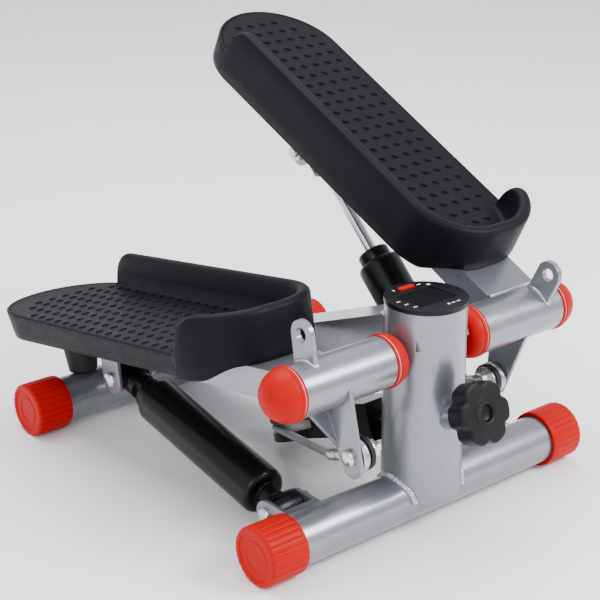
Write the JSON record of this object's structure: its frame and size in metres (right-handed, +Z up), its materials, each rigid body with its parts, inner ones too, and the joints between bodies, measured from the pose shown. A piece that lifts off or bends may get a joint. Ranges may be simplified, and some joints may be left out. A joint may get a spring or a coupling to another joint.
{
  "type": "mini stepper",
  "caption": "Mini stepper with two rope-linked pedals on a cross shaft, twin hydraulic dampers, height knob, sloping rear beam, end caps and a round monitor on the post.",
  "frame": {"origin": "centre of the bounding box on the floor plane, with the left pedal down and the right pedal up", "axes": "+X to the right of a user who faces the post, +Y from the post to the heel ends of the pedals, +Z up"},
  "size_m": [0.316, 0.447, 0.3231],
  "materials": {
    "silver_paint": "metallic grey paint, satin",
    "red_plastic": "bright red, smooth",
    "black_moulding": "fine-grained black",
    "black_paint": "semi-gloss black",
    "chrome": "polished",
    "zinc": "zinc plated",
    "black_rubber": "dull black",
    "black_gloss": "glossy black",
    "knob_plastic": "satin black",
    "grey_nylon": "natural grey nylon",
    "steel_rope": "stranded",
    "clear_lens": "clear",
    "lcd": "grey-green",
    "board": "green solder mask",
    "cell": "printed sleeve, no text"
  },
  "bodies": {
    "frame": {"front_cross_tube": "silver_paint", "rear_cross_tube": "silver_paint", "front_caps": "red_plastic", "rear_caps": "red_plastic", "post": "silver_paint", "rear_beam": "silver_paint", "pivot_shaft": "zinc", "damper_clevises": "silver_paint", "lower_damper_bolts": "zinc", "screw_boss": "silver_paint", "monitor_housing": "black_gloss", "monitor_lens": "clear_lens", "lcd_panel": "lcd", "circuit_board": "board", "battery_cell": "cell"},
    "mode_button": {"mode_button": "red_plastic"},
    "adjuster": {"height_knob": "knob_plastic", "adjuster_screw": "zinc"},
    "fork": {"pulley_fork": "black_paint", "pulley_pin": "zinc", "rope_bight": "steel_rope"},
    "pulley": {"pulley": "grey_nylon"},
    "pedal_left": {"pivot_tube_left": "silver_paint", "pivot_bushes_left": "grey_nylon", "pivot_dome_left": "red_plastic", "inner_collar_left": "red_plastic", "pedal_arm_left": "silver_paint", "pedal_tread_left": "black_moulding", "lever_bracket_left": "silver_paint", "lever_bolt_left": "zinc", "lever_washer_left": "black_rubber", "band_eye_left": "silver_paint", "damper_bracket_left": "silver_paint", "upper_damper_bolt_left": "zinc", "heel_bumper_left": "black_rubber", "pedal_screws_left": "zinc"},
    "damper_left": {"damper_cylinder_left": "black_paint"},
    "rod_left": {"damper_rod_left": "chrome", "damper_top_left": "black_paint"},
    "rope_end_left": {"rope_eye_left": "steel_rope", "rope_run_left": "steel_rope"},
    "pedal_right": {"pivot_tube_right": "silver_paint", "pivot_bushes_right": "grey_nylon", "pivot_dome_right": "red_plastic", "inner_collar_right": "red_plastic", "pedal_arm_right": "silver_paint", "pedal_tread_right": "black_moulding", "lever_bracket_right": "silver_paint", "lever_bolt_right": "zinc", "lever_washer_right": "black_rubber", "band_eye_right": "silver_paint", "damper_bracket_right": "silver_paint", "upper_damper_bolt_right": "zinc", "heel_bumper_right": "black_rubber", "pedal_screws_right": "zinc"},
    "damper_right": {"damper_cylinder_right": "black_paint"},
    "rod_right": {"damper_rod_right": "chrome", "damper_top_right": "black_paint"},
    "rope_end_right": {"rope_eye_right": "steel_rope", "rope_run_right": "steel_rope"}
  },
  "joints": [
    {"name": "pedal_left", "type": "hinge", "parent": "frame", "child": "pedal_left", "pos_m": [0, -0.15324, 0.1375], "axis": [1, 0, 0], "range_deg": [0, 35.5]},
    {"name": "pedal_right", "type": "hinge", "parent": "frame", "child": "pedal_right", "pos_m": [0, -0.15324, 0.1375], "axis": [1, 0, 0], "range_deg": [-35.5, 0]},
    {"name": "damper_left", "type": "hinge", "parent": "frame", "child": "damper_left", "pos_m": [0, -0.11024, 0.022], "axis": [1, 0, 0], "range_deg": [0, 34.02]},
    {"name": "rod_left", "type": "slide", "parent": "damper_left", "child": "rod_left", "axis": [0, 0.9813, 0.1923], "range_m": [0, 0.0751]},
    {"name": "rope_end_left", "type": "slide", "parent": "frame", "child": "rope_end_left", "axis": [0, 0.9968, -0.0798], "range_m": [0, 0.03376], "deforming": ["rope_run_left"]},
    {"name": "damper_right", "type": "hinge", "parent": "frame", "child": "damper_right", "pos_m": [0, -0.11024, 0.022], "axis": [1, 0, 0], "range_deg": [-32.34, 0]},
    {"name": "rod_right", "type": "slide", "parent": "damper_right", "child": "rod_right", "axis": [0, 0.7155, 0.6987], "range_m": [-0.07416, 0]},
    {"name": "rope_end_right", "type": "slide", "parent": "frame", "child": "rope_end_right", "axis": [0, -0.9968, 0.0798], "range_m": [0, 0.03376], "deforming": ["rope_run_right"]},
    {"name": "pulley_spin", "type": "hinge", "parent": "fork", "child": "pulley", "pos_m": [0, -0.01503, 0.02739], "axis": [0, 0.3697, 0.9291], "range_deg": [-66.44, 0]},
    {"name": "knob_turn", "type": "hinge", "parent": "frame", "child": "adjuster", "pos_m": [0, -0.15124, 0.0816], "axis": [0, -0.9291, 0.3697], "range_deg": [0, 2883]},
    {"name": "fork_slide", "type": "slide", "parent": "frame", "child": "fork", "axis": [0, 0.9291, -0.3697], "range_m": [0, 0.012]},
    {"name": "mode_press", "type": "slide", "parent": "frame", "child": "mode_button", "axis": [0, 0, -1], "range_m": [0, 0.0008], "stiffness_N_per_m": 400}
  ],
  "couplings": [
    {"joint": "pedal_right", "follows": "pedal_left", "ratio": -1},
    {"joint": "damper_left", "follows": "pedal_left", "ratio": 0.95731},
    {"joint": "rod_left", "follows": "pedal_left", "m_per_rad": 0.12109},
    {"joint": "rope_end_left", "follows": "pedal_left", "m_per_rad": 0.054437},
    {"joint": "damper_right", "follows": "pedal_left", "ratio": -0.91005},
    {"joint": "rod_right", "follows": "pedal_left", "m_per_rad": -0.11957},
    {"joint": "rope_end_right", "follows": "pedal_left", "m_per_rad": 0.054437},
    {"joint": "pulley_spin", "follows": "pedal_left", "ratio": -1.8698},
    {"joint": "knob_turn", "follows": "fork_slide", "rad_per_m": 4188.8}
  ]
}
